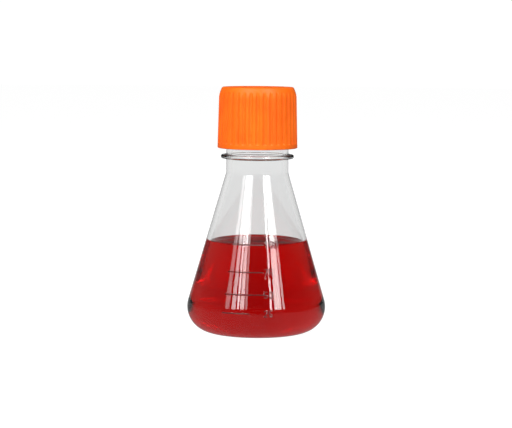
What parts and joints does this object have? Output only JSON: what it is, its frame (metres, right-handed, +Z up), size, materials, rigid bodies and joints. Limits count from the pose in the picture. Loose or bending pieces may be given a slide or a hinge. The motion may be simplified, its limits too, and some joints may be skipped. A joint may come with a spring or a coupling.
{
  "type": "culture shake flask",
  "caption": "Conical plastic culture flask with a flat foot, a flanged threaded neck, a fluted screw cap with a vent membrane, a moulded volume scale and liquid medium inside.",
  "frame": {"origin": "centre of the foot, on the surface that the flask stands on", "axes": "+Z up along the flask's axis, -Y towards the moulded scale, +X to the right of the scale"},
  "size_m": [0.067, 0.0672, 0.1185],
  "materials": {
    "clear_polymer": "gloss",
    "medium": "gloss",
    "cap_polymer": "satin",
    "gasket_rubber": "matte",
    "membrane": "matte",
    "ring_polymer": "satin"
  },
  "bodies": {
    "flask": {"flask_body": "clear_polymer", "culture_medium": "medium"},
    "seal": {"cap_gasket": "gasket_rubber"},
    "cap": {"cap_shell": "cap_polymer", "vent_membrane": "membrane", "membrane_ring": "ring_polymer"}
  },
  "joints": [
    {"name": "cap_lift", "type": "slide", "parent": "flask", "child": "seal", "axis": [0, 0, 1], "range_m": [0, 0.03608]},
    {"name": "cap_turn", "type": "hinge", "parent": "seal", "child": "cap", "pos_m": [0, 0, 0.1], "axis": [0, 0, 1], "range_deg": [0, 3060]}
  ],
  "couplings": [
    {"joint": "cap_lift", "follows": "cap_turn", "m_per_rad": 0.00067375}
  ]
}
